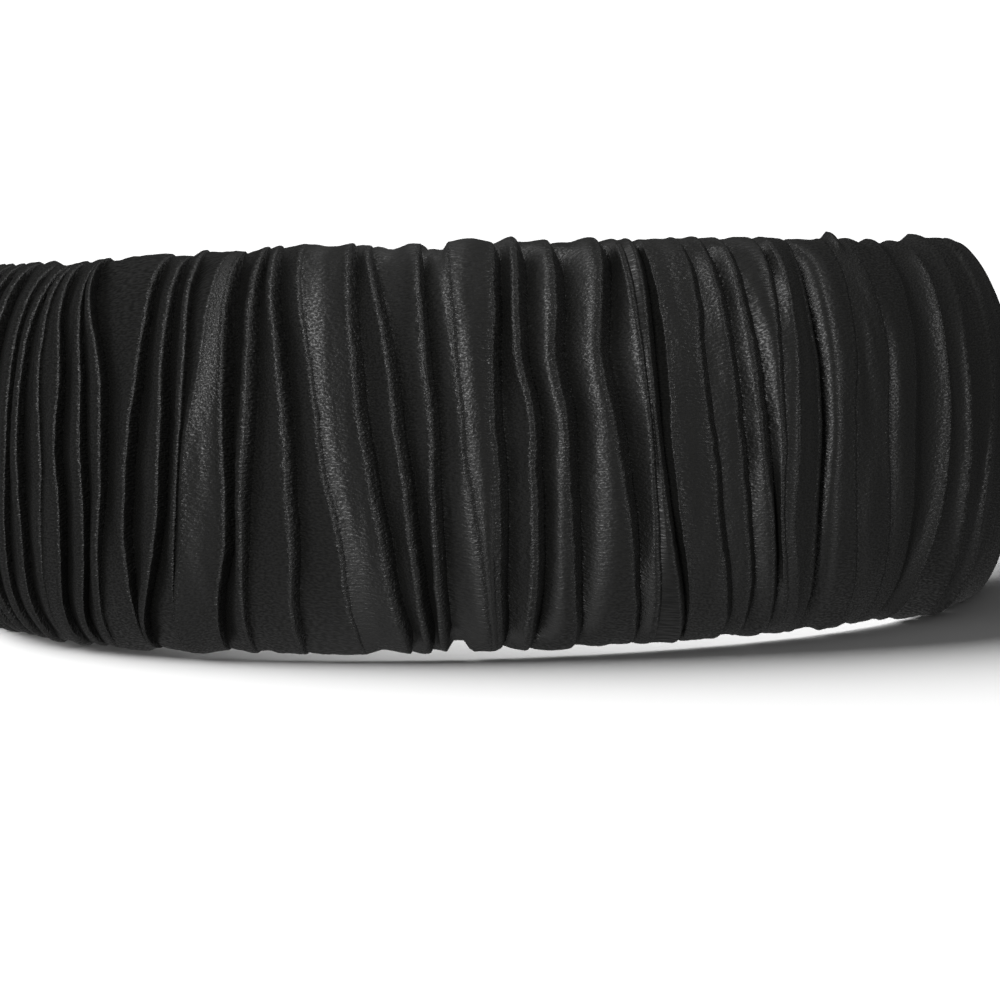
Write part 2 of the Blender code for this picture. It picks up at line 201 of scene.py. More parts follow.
def leg_folds(last, side):
    """Carries the pleats on from the last fold of the front to the tip of a leg."""
    pitch = LEG_PLEAT_PITCH / HALF_LENGTH
    bow = LEG_PLEAT_BOW / HALF_LENGTH
    room = 1.0 - TIP_ROUNDING / HALF_LENGTH - bow
    count = int((room - abs(last.middle)) / pitch)
    rows = []
    for number in range(1, count + 1):
        middle = side * (abs(last.middle) + number * pitch)
        usual = side * bow * LEG_BOW_SHARES[number % len(LEG_BOW_SHARES)]
        settled = min(number / LEG_SETTLING_FOLDS, 1.0)
        top = middle + (last.top - last.middle) * (1.0 - settled) + usual * settled
        bottom = middle + (last.bottom - last.middle) * (1.0 - settled) + usual * settled
        upper = (top + middle) / 2.0 - usual / 4.0
        lower = (bottom + middle) / 2.0 - usual / 4.0
        rows.append(Fold(top, upper, middle, lower, bottom, *LEG_DEEP, *LEG_SWELL, sag=0.0, low=0.0))
    return rows


folds = leg_folds(FRONT_FOLDS[0], -1.0)[::-1] + list(FRONT_FOLDS) + leg_folds(FRONT_FOLDS[-1], 1.0)
fold_table = np.array(folds)
print("pleats:", len(folds))

# %% [markdown]
# ## Where the mesh has its columns
#
# The skin of the cover is a tube of quads. Its columns run along the folds: some go round each
# folded edge, some go down behind it, and the others cross the strip to the next fold, so even a
# sharp fold stays smooth along its length. The rows go round the section, and are closest on the
# face. The folds that the photo shows get finer columns than those on the legs.

# %% Columns and rows
EDGE_STEPS = 9
WALL_PLACES = (0.33, 0.67, 1.0)
PANEL_PITCH = 0.48 * MM
LEG_PANEL_PITCH = 0.9 * MM
FEWEST_PANEL_COLUMNS = 5
SEEN_FROM, SEEN_TO = -0.44, 0.5
OUTSIDE_ROWS = 60
HEAD_SIDE_ROWS = 14
EDGE, WALL, PANEL = 0, 1, 2


def column_parts():
    """Gives each column's fold, which part of the pleat it is on, and how far along that part."""
    numbers, parts, places = [], [], []
    for number in range(len(folds) - 1):
        width = (folds[number + 1].middle - folds[number].middle) * HALF_LENGTH
        pitch = PANEL_PITCH if SEEN_FROM < folds[number].middle < SEEN_TO else LEG_PANEL_PITCH
        count = max(FEWEST_PANEL_COLUMNS, round(width / pitch))
        even = (np.arange(count) + 1.0) / (count + 1.0)
        edge = np.linspace(0.0, 1.0, EDGE_STEPS)
        part = np.repeat((EDGE, WALL, PANEL), (EDGE_STEPS, len(WALL_PLACES), count))
        place = np.concatenate([edge, WALL_PLACES, even])
        numbers.append(np.full(len(part), number))
        parts.append(part)
        places.append(place)
    return np.concatenate(numbers), np.concatenate(parts), np.concatenate(places)


fold_of, part_of, place_of = column_parts()
outside = np.linspace(0.0, math.pi, OUTSIDE_ROWS, endpoint=False)
head_side = np.linspace(math.pi, 2.0 * math.pi, HEAD_SIDE_ROWS, endpoint=False)
turns = np.concatenate([outside, head_side])
level = np.cos(turns)
side_out = np.sin(turns)
on_face = side_out >= 0.0
print("columns and rows:", len(fold_of), len(turns))

# %% [markdown]
# ## Small irregularities
#
# Hand-gathered cloth never falls in perfect curves. Each crest wanders a little from its line,
# its height changes along the pleat, and the strips between have long shallow wrinkles. All of
# it comes from smooth random curves with a fixed seed, so the cloth is the same in every run.

# %% Smooth random curves and surfaces
SEED = 7
FIELD_CELLS = 64
random = np.random.default_rng(SEED)


def ease(part):
    """Turns a part from 0 to 1 into one that starts and ends gently."""
    part = np.clip(part, 0.0, 1.0)
    return part * part * (3.0 - 2.0 * part)


def smooth_curves(count, places, knots):
    """Gives smooth random curves from -1 to 1, one row each, over places from 0 to 1."""
    values = random.uniform(-1.0, 1.0, (count, knots + 2))
    spot = np.clip(places, 0.0, 1.0) * knots
    first = np.minimum(spot.astype(int), knots)
    part = ease(spot - first)
    return values[:, first] * (1.0 - part) + values[:, first + 1] * part


def smooth_field(x, y):
    """Gives smooth random heights from about -1 to 1 at points in cells of size one."""
    table = random.uniform(-1.0, 1.0, (FIELD_CELLS, FIELD_CELLS))
    x0, y0 = np.floor(x).astype(int), np.floor(y).astype(int)
    fx, fy = ease(x - x0), ease(y - y0)
    x0, y0 = x0 % FIELD_CELLS, y0 % FIELD_CELLS
    x1, y1 = (x0 + 1) % FIELD_CELLS, (y0 + 1) % FIELD_CELLS
    here, right = table[x0, y0], table[x1, y0]
    above, corner = table[x0, y1], table[x1, y1]
    return (here * (1.0 - fx) + right * fx) * (1.0 - fy) + (above * (1.0 - fx) + corner * fx) * fy


# %% [markdown]
# ## Follow the folds round the section
#
# A smooth curve goes through a fold's places on the face, and on the head side the fold
# goes straight back. The depth fades over the edges, where the pleats are pulled tight, and to
# almost nothing under the ribbon.

# %% Crest lines and depths
PLEAT_DEPTH = 2.3 * MM
EDGE_RELIEF = 0.24
EDGE_REACH = 0.42
HEAD_RELIEF = 0.025
TIP_RELIEF = 0.45
CREST_WANDER = 0.22 * MM
CREST_SHAKE = 0.09 * MM
CREST_DIP = 0.30 * MM
WANDER_KNOTS = 7
SHAKE_KNOTS = 36
SLOW_KNOTS = 5
WANDER_ROOM = 3.0 * MM
END_ROOM = 4.0 * MM
DEEPEST = 1.4
SWELL_CHANGE = 0.08
SWELL_RANGE = (0.4, 12.0)
HEAD_REACH = 0.5


def down_face(values, level):
    """Runs a smooth curve down the face through evenly spaced values, one row of them per fold."""
    last = values.shape[1] - 1
    spot = (READ_HEIGHT - level) / (2.0 * READ_HEIGHT) * last
    first = np.clip(np.floor(spot).astype(int), 0, last - 1)
    part = np.clip(spot - first, 0.0, 1.0)
    past = spot - first - part
    slope = np.gradient(values, axis=1)
    start, end = values[:, first], values[:, first + 1]
    rise, fall = slope[:, first], slope[:, first + 1]
    smooth = ease(part)
    bend = part * (1.0 - part)
    curve = start + (end - start) * smooth + bend * (rise * (1.0 - part) - fall * part)
    return curve + past * np.where(past < 0.0, rise, fall)


def round_section(first, last):
    """Follows the columns from first to last down the face, and straight back up on the head side."""
    values = fold_table[:, Fold._fields.index(first):Fold._fields.index(last) + 1]
    edges = down_face(values, np.array([1.0, -1.0]))
    back = edges[:, 1:] + (edges[:, :1] - edges[:, 1:]) * (level + 1.0) / 2.0
    return np.where(on_face, down_face(values, level), back)


def fold_column(name):
    return fold_table[:, [Fold._fields.index(name)]]


face_place = (1.0 - level) / 2.0
crests = round_section("top", "bottom") * HALF_LENGTH
room = np.diff(crests, axis=0, prepend=crests[:1] - END_ROOM)
room = np.minimum(room, np.append(room[1:], room[-1:], axis=0))
wander = smooth_curves(len(folds), face_place, WANDER_KNOTS) * CREST_WANDER
wander = wander + smooth_curves(len(folds), face_place, SHAKE_KNOTS) * CREST_SHAKE
crests = crests + wander * np.clip(room / WANDER_ROOM, 0.0, 1.0)
dips = (smooth_curves(len(folds), face_place, SLOW_KNOTS) + 1.0) / 2.0 * CREST_DIP
dips = dips + fold_column("low") * PLEAT_DEPTH
sags = fold_column("sag") * PLEAT_DEPTH
depths = np.clip(round_section("deep_top", "deep_bottom"), 0.0, DEEPEST) * PLEAT_DEPTH
changes = smooth_curves(len(folds), face_place, SLOW_KNOTS) * SWELL_CHANGE
swells = np.clip(round_section("swell_top", "swell_bottom") + changes, *SWELL_RANGE)
facing = ease(side_out / EDGE_REACH)
relief = EDGE_RELIEF + (1.0 - EDGE_RELIEF) * facing
head_relief = HEAD_RELIEF + (EDGE_RELIEF - HEAD_RELIEF) * (1.0 - ease(-side_out / HEAD_REACH))
relief = np.where(on_face, relief, head_relief)
thickness_share = station_share(crests, "thickness")
depths = depths * relief * (TIP_RELIEF + (1.0 - TIP_RELIEF) * thickness_share)
dips = dips * relief
sags = sags * relief
print("deepest valley, mm:", round(depths.max() / MM, 2))

# %% [markdown]
# ## The profile of a knife pleat
#
# Across the band a pleat is a small arc over the folded edge, a wall behind it, and then the next
# strip, which climbs out of the valley to its own crest. The arc starts with the slope of the
# strip before it, so light runs along each fold as one thin line. On the left half the arc is
# loose first and tighter later, as in a pressed fold. How far it turns changes along the band: at
# the left the wall tucks back under the fold, and at the right it slopes down. Columns that come
# close are kept a hundredth of a millimetre apart, so that no face turns over.

# %% Profile across the folds
EDGE_RADIUS = 0.60 * MM
EDGE_ROOM = 0.30
TURN_PLACES = (-56.0 * MM, -38.0 * MM, -26.0 * MM, 14.0 * MM, 30.0 * MM, 40.0 * MM, 46.0 * MM)
TURN_ANGLES = (100.0, 84.0, 66.0, 60.0, 48.0, 48.0, 58.0)
TIGHT_FROM = math.radians(8.0)
TIGHT_SHARE = 0.3
ROUND_FROM = -3.5 * MM
LONGEST_RUN = 0.45
COLUMN_GAP = 0.012 * MM
LOOSE_TURNS = (0.15, 1.2)
NARROWEST_STRIP = 0.15 * MM
SHORTEST_PANEL = 0.05 * MM
DEEPEST_SHARE = 0.9
SMALLEST_SINE = 0.05
STEEPEST_START = math.radians(40.0)
SETBACK_PLACES = (-60.0 * MM, 60.0 * MM)
SETBACK_SHARES = (1.0, 0.0)


def fold_arc(radius, loose, angle):
    """Gives how far out and down the folded edge has come at an angle, tighter past the loose part."""
    bend = np.minimum(angle, loose)
    out = radius * (np.sin(bend) + TIGHT_SHARE * (np.sin(angle) - np.sin(bend)))
    down = radius * (1.0 - np.cos(bend) + TIGHT_SHARE * (np.cos(bend) - np.cos(angle)))
    return out, down


widths = np.maximum(np.diff(crests, axis=0), NARROWEST_STRIP)
strip_widths = np.append(widths, widths[-1:], axis=0)
before_widths = np.append(widths[:1], widths, axis=0)
radii = np.minimum(EDGE_RADIUS, EDGE_ROOM * np.minimum(strip_widths, before_widths))
depths = np.minimum(depths, strip_widths * DEEPEST_SHARE)
edge_turns = np.radians(np.interp(crests, TURN_PLACES, TURN_ANGLES))
loose_turns = np.minimum(np.clip(TIGHT_FROM - crests / FRONT_RADIUS, *LOOSE_TURNS), edge_turns)
loose_turns = np.where(crests < ROUND_FROM, loose_turns, edge_turns)
loose_down = radii * (1.0 - np.cos(loose_turns))
past_loose = np.maximum(depths - loose_down, 0.0) / (TIGHT_SHARE * radii)
end_cosines = np.where(depths < loose_down, 1.0 - depths / radii, np.cos(loose_turns) - past_loose)
end_turns = np.arccos(np.clip(end_cosines, np.cos(edge_turns), 1.0))
walls = np.maximum(depths - fold_arc(radii, loose_turns, end_turns)[1], 0.0)
runs = walls * np.cos(end_turns) / np.maximum(np.sin(end_turns), SMALLEST_SINE)
runs = np.minimum(runs, strip_widths * LONGEST_RUN)
climbs = dips[:-1] + depths[:-1] - dips[1:]
flatter = np.clip(2.0 - swells[:-1], 0.0, 1.0)
end_slopes = np.arctan(climbs / widths * flatter - sags[:-1] * math.pi / widths)
start_turns = np.append(end_slopes[:1], end_slopes, axis=0)
start_turns = np.clip(start_turns, 0.0, STEEPEST_START)
widest = fold_arc(radii, loose_turns, np.minimum(end_turns, math.pi / 2.0))[0]
setbacks = widest * np.interp(crests, SETBACK_PLACES, SETBACK_SHARES)


def pleat_points(part, place, number, index):
    """Gives how far from their crest and how deep points on the edge, the wall and the strip are."""
    after = number + 1
    radius, turn, first = radii[number], end_turns[number], start_turns[number]
    gap = COLUMN_GAP * index
    edge_out, edge_down = fold_arc(radius, loose_turns[number], place * (turn + first) - first)
    edge_out = edge_out + gap - setbacks[number]
    edge_down = edge_down + dips[number]
    turn_out, turn_down = fold_arc(radius, loose_turns[number], turn)
    turn_out = turn_out - setbacks[number]
    wall_out = turn_out + runs[number] * place + gap
    wall_down = dips[number] + turn_down + walls[number] * place
    start = turn_out + runs[number] + COLUMN_GAP * (EDGE_STEPS + len(WALL_PLACES))
    end = widths[number] - setbacks[after] - radii[after] * np.sin(start_turns[after])
    strip_out = start + np.maximum(end - start, SHORTEST_PANEL) * place
    end_down = dips[after] + radii[after] * (1.0 - np.cos(start_turns[after]))
    climb = dips[number] + turn_down + walls[number] - end_down
    left = 1.0 - place
    strip_down = end_down + climb * left ** swells[number] + sags[number] * np.sin(math.pi * place)
    out = np.where(part == EDGE, edge_out, np.where(part == WALL, wall_out, strip_out))
    down = np.where(part == EDGE, edge_down, np.where(part == WALL, wall_down, strip_down))
    return out, down


wall_number = np.searchsorted(WALL_PLACES, place_of)
edge_number = np.rint(place_of * (EDGE_STEPS - 1))
step_index = np.where(part_of == EDGE, edge_number, EDGE_STEPS + wall_number)[:, None]
out, down = pleat_points(part_of[:, None], place_of[:, None], fold_of, step_index)
along = crests[fold_of] + out
way = np.clip(out / widths[fold_of], 0.0, 1.0)
print("radius of the folded edges, mm:", round(radii.min() / MM, 2), "to", round(radii.max() / MM, 2))

# %% [markdown]
# ## Wrinkles and puckers
#
# Long shallow wrinkles run along the pleats, with finer ripples in them. Short puckers and small
# creases sit near the two edges, where the satin was pulled to the back. All of them are smooth
# random heights of a few tenths of a millimetre, in cells that are longer down the face.

# %% Add the fine relief
WRINKLE_HEIGHT = 0.14 * MM
RIPPLE_HEIGHT = 0.05 * MM
PUCKER_HEIGHT = 0.42 * MM
CREASE_SHARE = 0.4
WRINKLE_CELL = (2.2 * MM, 11.0 * MM)
RIPPLE_CELL = (0.9 * MM, 5.0 * MM)
PUCKER_CELL = (2.6 * MM, 3.0 * MM)
CREASE_CELL = (1.3 * MM, 1.6 * MM)
PUCKER_REACH = 0.3
face_height = level[None, :] * FRONT_WIDTH / 2.0


def cloth_heights(cell, shift):
    """Gives random heights on the cloth, in cells so long along the band and down the face."""
    return smooth_field(along / cell[0], face_height / cell[1] + shift)


wrinkles = cloth_heights(WRINKLE_CELL, shift=7.0)
ripples = cloth_heights(RIPPLE_CELL, shift=31.0)
puckers = cloth_heights(PUCKER_CELL, shift=3.0)
puckers = puckers + cloth_heights(CREASE_CELL, shift=11.0) * CREASE_SHARE
on_strip = 4.0 * way * (1.0 - way)
down = down + (wrinkles * WRINKLE_HEIGHT + ripples * RIPPLE_HEIGHT) * on_strip * relief
near_edge = (1.0 - facing) * np.where(on_face, 1.0, ease(1.0 + side_out / PUCKER_REACH))
down = down + puckers * PUCKER_HEIGHT * near_edge
print("columns run the right way:", bool((np.diff(crests, axis=0) > 0.0).all()))

# %% [markdown]
# ## Wrap the surface round the band
#
# The depths are taken off along the section's own outward direction. Towards both ends of the
# photo the padding makes the edges a little fuller. In a few places near the middle the seam
# caught a pleat, which pulls the edge in, and one loose pleat stands out past the edge. Each is a
# row with its place, its edge (1 for the top, -1 for the bottom), half its width, how soft its
# sides are, how deep it goes and how far down the face it reaches. The band is then tilted and
# lowered until its soft lower edge is pressed flat on the table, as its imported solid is.

# %% Place every point
FULL_PLACES = (-72.0 * MM, -63.0 * MM, 64.0 * MM, 75.0 * MM, 95.0 * MM)
TOP_FULLNESS = (1.1 * MM, 0.1 * MM, 0.0, 0.7 * MM, 1.2 * MM)
LOW_FULLNESS = (0.0, 0.0, 0.0, 0.5 * MM, 0.8 * MM)
Tuck = namedtuple("Tuck", "along edge half_width softness deep reach")
TUCKS = (
    Tuck(-4.5 * MM, 1.0, 1.3 * MM, 0.5 * MM, 1.3 * MM, 0.20),
    Tuck(-2.9 * MM, -1.0, 1.1 * MM, 0.5 * MM, 1.5 * MM, 0.12),
    Tuck(-8.5 * MM, 1.0, 2.6 * MM, 1.0 * MM, 0.6 * MM, 0.15),
    Tuck(53.2 * MM, 1.0, 0.5 * MM, 0.6 * MM, -1.1 * MM, 0.05),
)


def edge_tucks(along, height):
    """Gives how far the top or bottom edge is pulled in where a pleat was caught by the seam."""
    pulled = 0.0
    for tuck in TUCKS:
        inside = tuck.half_width + tuck.softness - np.abs(along - tuck.along)
        near = ease(inside / (2.0 * tuck.softness))
        at_edge = ease((height * tuck.edge - 1.0 + tuck.reach) / tuck.reach)
        pulled = pulled + tuck.edge * tuck.deep * near * at_edge
    return pulled


def cover_points(along, below, turns):
    """Gives the cover's points below the crests, tilted but not yet lowered."""
    half_width, thickness = band_size(along)
    end = tip_factor(along)
    side, height = np.sin(turns), np.cos(turns)
    outward = np.where(side >= 0.0, (1.0 - EDGE_SEAT) * side, -EDGE_SEAT * np.sqrt(np.abs(side)))
    normal_height, normal_outward = height * thickness, side * half_width
    length = np.hypot(normal_height, normal_outward)
    at_top = np.interp(along, FULL_PLACES, TOP_FULLNESS)
    at_bottom = np.interp(along, FULL_PLACES, LOW_FULLNESS)
    fuller = np.where(height > 0.0, at_top, at_bottom) * height ** 2
    z = (half_width + fuller) * end * height - below * normal_height / length
    z = z - edge_tucks(along, height)
    out = EDGE_SEAT * thickness + outward * thickness * end - below * normal_outward / length
    x, y, out_x, out_y = plan_point(along)
    return np.stack(lay_down(x + out_x * out, y + out_y * out, z), axis=-1)


TIP_RINGS = 12
FIRST_RING = 0.3
RING_CROWDING = 1.6
points = cover_points(along, down, turns[None, :])
tip_way = (np.arange(TIP_RINGS) + FIRST_RING) / TIP_RINGS
ends = []
for edge, side in ((along[0], -1.0), (along[-1], 1.0)):
    tip = side * HALF_LENGTH
    ring_along = tip + (edge - tip)[None, :] * tip_way[:, None] ** RING_CROWDING
    ring_along = ring_along if side < 0.0 else ring_along[::-1]
    ends.append(cover_points(ring_along, np.zeros_like(ring_along), turns[None, :]))
points = np.concatenate([ends[0], points, ends[1]])

lowest = points[..., 2].min() + REST_CRUSH
points[..., 2] = np.maximum(points[..., 2] - lowest, 0.0)
low_corner, high_corner = points.reshape(-1, 3).min(axis=0), points.reshape(-1, 3).max(axis=0)
cad_low, cad_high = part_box("pleated_cover")
to_frame = [(cad_low[i] + cad_high[i] - low_corner[i] - high_corner[i]) / 2.0 for i in (0, 1)]
points[..., 0] += to_frame[0]
points[..., 1] += to_frame[1]
print("cover, mm:", (low_corner / MM).round(1), (high_corner / MM).round(1))

# %% [markdown]
# ## Build the skin
#
# A grid primitive gives the quads, and its vertices take the places worked out above. The grid's
# first and last rows meet and are merged, which makes a tube, and the two small openings at the
# tips are filled. The cloth's own lengths go into the UV map, so that the threads keep their
# size on the folds. The crease where a strip comes out from under the fold before it is shaded
# sharp, and the folded edges are marked with an attribute, because their threads stand up more.

# %% Cover mesh
UV_METRES = 0.1
FUZZ_REACH = 0.5 * MM
MERGE_DISTANCE = 0.0001 * MM


def lay_cloth_map(mesh, along, across):
    """Writes the cloth's lengths at each vertex into the UV map."""
    loops = np.zeros(len(mesh.loops), dtype=np.int32)
    mesh.loops.foreach_get("vertex_index", loops)
    layer = mesh.uv_layers.active or mesh.uv_layers.new(name="cloth")
    layer.name = "cloth"
    uv = np.stack([along[loops], across[loops]], axis=-1) / UV_METRES
    layer.data.foreach_set("uv", uv.ravel())
    mesh.update()


def face_outwards():
    """Turns all faces of the active object outwards."""
    bpy.ops.object.mode_set(mode="EDIT")
    bpy.ops.mesh.select_all(action="SELECT")
    bpy.ops.mesh.normals_make_consistent(inside=False)
    bpy.ops.object.mode_set(mode="OBJECT")


def cloth_tube(name, points, creased, fuzz):
    """Makes a closed tube from rings of points, and marks its creased rings and folded edges."""
    rings, rows = points.shape[:2]
    bpy.ops.mesh.primitive_grid_add(x_subdivisions=rings - 1, y_subdivisions=rows, size=1.0)
    piece = bpy.context.object
    piece.name = piece.data.name = name
    mesh = piece.data
    wrapped = np.concatenate([points, points[:, :1]], axis=1)
    count = len(mesh.vertices)
    flat = np.zeros(count * 3)
    mesh.vertices.foreach_get("co", flat)
    flat = flat.reshape(-1, 3)
    ring = np.rint((flat[:, 0] + 0.5) * (rings - 1)).astype(int)
    row = np.rint((flat[:, 1] + 0.5) * rows).astype(int)
    middle = OUTSIDE_ROWS // 2
    step = np.linalg.norm(np.diff(points[:, middle], axis=0), axis=1)
    u = np.concatenate([[0.0], np.cumsum(step)])
    edge = np.linalg.norm(np.diff(wrapped[rings // 2], axis=0), axis=1)
    v = np.concatenate([[0.0], np.cumsum(edge)])
    mesh.vertices.foreach_set("co", wrapped[ring, row].ravel())
    pairs = np.zeros(len(mesh.edges) * 2, dtype=np.int32)
    mesh.edges.foreach_get("vertices", pairs)
    first, second = ring[pairs[0::2]], ring[pairs[1::2]]
    mesh.edges.foreach_set("use_edge_sharp", (first == second) & creased[first])
    folded = mesh.attributes.new("folded_edge", "FLOAT", "POINT")
    folded.data.foreach_set("value", fuzz[ring])
    lay_cloth_map(mesh, u[ring], v[row])
    bpy.ops.object.mode_set(mode="EDIT")
    bpy.ops.mesh.select_all(action="SELECT")
    bpy.ops.mesh.remove_doubles(threshold=MERGE_DISTANCE)
    bpy.ops.mesh.select_all(action="DESELECT")
    bpy.ops.mesh.select_non_manifold()
    bpy.ops.mesh.edge_face_add()
    bpy.ops.object.mode_set(mode="OBJECT")
    face_outwards()
    bpy.ops.object.shade_smooth()
    bpy.ops.object.select_all(action="DESELECT")
    return piece


valley_ends = (part_of == WALL) & (place_of == WALL_PLACES[-1])
creased = np.pad(valley_ends, TIP_RINGS)
middle_widths = widths[fold_of, OUTSIDE_ROWS // 2]
from_crest = np.minimum(place_of, 1.0 - place_of) * middle_widths
fuzz = np.where(part_of == PANEL, np.clip(1.0 - from_crest / FUZZ_REACH, 0.0, 1.0), 1.0)
satin_cover = cloth_tube("satin_cover", points, creased, np.pad(fuzz, TIP_RINGS))
print("cover faces:", len(satin_cover.data.polygons))

# %% [markdown]
# ## Finishes
#
# Colours are written as on a colour card, in sRGB hex, and turned to linear values for the shader.
# One helper adds a node with its settings and links, and five small ones name the nodes that
# come back most: cells of the cloth's own size, noise, a change of range, a sum and a mix.

# %% Helpers for materials
def colour(code):
    """Turns an sRGB hex colour into linear RGBA."""
    parts = [int(code[i:i + 2], 16) / 255.0 for i in (0, 2, 4)]
    linear = [p / 12.92 if p <= 0.04045 else ((p + 0.055) / 1.055) ** 2.4 for p in parts]
    return (*linear, 1.0)


def node(tree, kind, settings=None, **inputs):
    """Adds a node with settings, and sets or links its inputs, whose spaces are written as _."""
    made = tree.nodes.new(kind)
    for key, value in (settings or {}).items():
        setattr(made, key, value)
    for key, value in inputs.items():
        socket = made.inputs[int(key[1:])] if key[1:].isdigit() else made.inputs[key.replace("_", " ")]
        if isinstance(value, bpy.types.NodeSocket):
            tree.links.new(value, socket)
        else:
            socket.default_value = value
    return made


def cells(tree, cloth, along, across):
    """Scales the cloth's UV map to cells of this size."""
    size = (UV_METRES / along, UV_METRES / across, 1.0)
    return node(tree, "ShaderNodeMapping", Vector=cloth, Scale=size).outputs[0]


def noise(tree, place, detail, scale=1.0):
    return node(tree, "ShaderNodeTexNoise", Vector=place, Scale=scale, Detail=detail).outputs["Fac"]


def ranged(tree, value, start, end, low, high, **settings):
    """Takes a value from the range start to end to the range low to high."""
    made = node(tree, "ShaderNodeMapRange", settings, Value=value, _1=start, _2=end, _3=low, _4=high)
    return made.outputs[0]


def blended(tree, value, share, other):
    """Gives share times a value, plus the other value."""
    made = node(tree, "ShaderNodeMath", {"operation": "MULTIPLY_ADD"}, _0=value, _1=share, _2=other)
    return made.outputs[0]


def toned(tree, part, dark, light):
    """Mixes two card colours."""
    made = node(tree, "ShaderNodeMix", {"data_type": "RGBA"}, Factor=part, _6=colour(dark), _7=colour(light))
    return made.outputs[2]


def new_material(name):
    material = bpy.data.materials.new(name)
    material.use_nodes = True
    material.node_tree.nodes.clear()
    return material, material.node_tree


# %% [markdown]
# ## Black satin
#
# Polyester satin shows long floating threads on its face, so it shines across the threads and
# stays dark along them: an anisotropic gloss. Here the threads run along the band, and each one
# catches the light in short flecks. They are drawn about twice as coarse as real ones, a third
# of a millimetre apart, so that they show at the size of the photo. On the folded edges they
# stand up more, so the relief is stronger there.

# %% Satin material
THREAD_PITCH = 0.34 * MM
FLECK_LENGTH = 1.1 * MM
GRAIN_LENGTH = 0.42 * MM
GRAIN_PITCH = 0.28 * MM
PATCH_SIZE = 7.0 * MM
FLAT_RELIEF = 0.11 * MM
FOLDED_RELIEF = 0.30 * MM
DASH_FROM, DASH_TO = 0.34, 0.66
PATCH_SHARE = 0.6
SHINE_FROM, SHINE_TO = 0.3, 1.3
DULL, SHINY = 0.68, 0.34
GRAIN_SHARE = 0.45


def satin():
    material, tree = new_material("black_polyester_satin")
    cloth = node(tree, "ShaderNodeUVMap", {"uv_map": "cloth"}).outputs["UV"]
    flecks = noise(tree, cells(tree, cloth, FLECK_LENGTH, THREAD_PITCH), detail=1.0)
    grain = noise(tree, cells(tree, cloth, GRAIN_LENGTH, GRAIN_PITCH), detail=1.0)
    dashes = ranged(tree, grain, DASH_FROM, DASH_TO, 0.0, 1.0)
    patches = noise(tree, cells(tree, cloth, PATCH_SIZE, PATCH_SIZE), detail=2.0)
    shine = blended(tree, patches, PATCH_SHARE, dashes)
    rough = ranged(tree, shine, SHINE_FROM, SHINE_TO, DULL, SHINY, interpolation_type="SMOOTHSTEP")
    threads = blended(tree, grain, GRAIN_SHARE, flecks)
    folded = node(tree, "ShaderNodeAttribute", {"attribute_name": "folded_edge"}).outputs["Fac"]
    height = ranged(tree, folded, 0.0, 1.0, FLAT_RELIEF, FOLDED_RELIEF)
    bump = node(tree, "ShaderNodeBump", Strength=1.0, Distance=height, Height=threads)
    tangent = node(tree, "ShaderNodeTangent", {"direction_type": "UV_MAP", "uv_map": "cloth"})
    shader = node(tree, "ShaderNodeBsdfPrincipled", Base_Color=toned(tree, dashes, "0d0d0c", "1c1c1b"),
                  Roughness=rough, IOR=1.5, Anisotropic=0.80, Anisotropic_Rotation=0.25,
                  Tangent=tangent.outputs[0], Normal=bump.outputs[0])
    node(tree, "ShaderNodeOutputMaterial", Surface=shader.outputs[0])
    return material


satin_cover.data.materials.clear()
satin_cover.data.materials.append(satin())

# %% [markdown]
# ## The strip on the head side
#
# A plain ribbon covers the raw ends of the pleats. The photo hides it, so it is kept simple: a
# flat woven strip with rounded tips, made from a grid with a Solidify and a Bevel modifier.

# %% Inner strip
STRIP_WIDTH = 32.0 * MM
STRIP_TIP_WIDTH = 11.0 * MM
STRIP_THICKNESS = 1.4 * MM
STRIP_END_MARGIN = 7.0 * MM
STRIP_END_CUT = 0.1
CLEARANCE = 0.06 * MM
STRIP_STEPS = 240
STRIP_ROWS = 14
STRIP_SOFTNESS = 0.4 * MM
SHARP_ANGLE = math.radians(50.0)
RIB_PITCH = 0.55 * MM
RIB_YARN = 0.3 * MM
RIB_RELIEF = 0.12 * MM
ONE_RIB_PER_CELL = 0.314
FIBRE_SHARE = 0.5


def ribbon_points(along, level):
    """Gives the ribbon's points, and their height from its middle line."""
    width = STRIP_TIP_WIDTH + (STRIP_WIDTH - STRIP_TIP_WIDTH) * station_share(along, "width")
    x, y, out_x, out_y = plan_point(along)
    away = CLEARANCE + STRIP_THICKNESS / 2.0
    height = width / 2.0 * level * tip_factor(along, STRIP_END_MARGIN)
    px, py, pz = lay_down(x - out_x * away, y - out_y * away, height)
    return np.stack([px + to_frame[0], py + to_frame[1], pz - lowest], axis=-1), height


bpy.ops.mesh.primitive_grid_add(x_subdivisions=STRIP_STEPS, y_subdivisions=STRIP_ROWS, size=2.0)
ribbon = bpy.context.object
ribbon.name = ribbon.data.name = "lining_ribbon"
reach = HALF_LENGTH - STRIP_END_MARGIN - TIP_ROUNDING * STRIP_END_CUT
places = np.array([vertex.co[:] for vertex in ribbon.data.vertices])
ribbon_along = reach * np.sin(places[:, 0] * math.pi / 2.0)
ribbon_places, ribbon_height = ribbon_points(ribbon_along, places[:, 1])
ribbon.data.vertices.foreach_set("co", ribbon_places.ravel())
lay_cloth_map(ribbon.data, ribbon_along, ribbon_height)
wall = ribbon.modifiers.new("wall", "SOLIDIFY")
wall.thickness = STRIP_THICKNESS
wall.offset = 0.0
bpy.ops.object.modifier_apply(modifier="wall")
face_outwards()
soft = ribbon.modifiers.new("soft_edge", "BEVEL")
soft.width = STRIP_SOFTNESS
soft.segments = 3
soft.limit_method = "ANGLE"
soft.angle_limit = SHARP_ANGLE
bpy.ops.object.modifier_apply(modifier="soft_edge")
